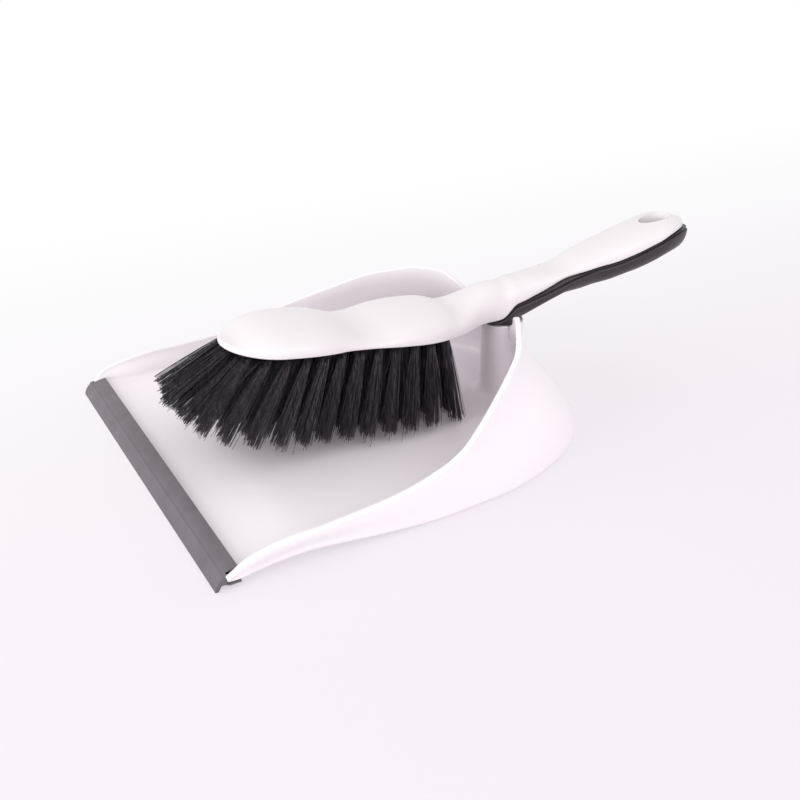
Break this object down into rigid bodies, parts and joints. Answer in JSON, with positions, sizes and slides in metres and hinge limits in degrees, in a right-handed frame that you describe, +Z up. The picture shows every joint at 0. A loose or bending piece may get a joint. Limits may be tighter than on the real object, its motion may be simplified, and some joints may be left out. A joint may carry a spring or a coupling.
{
  "type": "dustpan and hand brush set",
  "caption": "Hand brush stored on a dustpan; its peg drops into a socket post on the pan's back wall, and the brush lifts straight off.",
  "frame": {"origin": "on the floor under the dustpan's flat underside, on the mirror plane, 170 mm behind the lip", "axes": "+X from the dustpan's lip to the end of the brush's handle, +Y to the pan's left as seen from its handle side, +Z up"},
  "size_m": [0.3391, 0.2246, 0.0908],
  "materials": {
    "white_shell": "smooth satin white",
    "white_brush": "smooth glossy white",
    "dark_rubber": "soft dark grey",
    "dark_grip": "soft charcoal",
    "black_bristle": "straight black filament"
  },
  "bodies": {
    "dustpan": {"dustpan_shell": "white_shell", "lip_strip": "dark_rubber"},
    "brush": {"brush_body": "white_brush", "grip_insert": "dark_grip", "bristle_row_1": "black_bristle", "bristle_row_2": "black_bristle", "bristle_row_3": "black_bristle", "bristle_row_4": "black_bristle", "bristle_row_5": "black_bristle"}
  },
  "joints": [
    {"name": "brush_lift", "type": "slide", "parent": "dustpan", "child": "brush", "axis": [0, 0, 1], "range_m": [0, 0.08]}
  ]
}
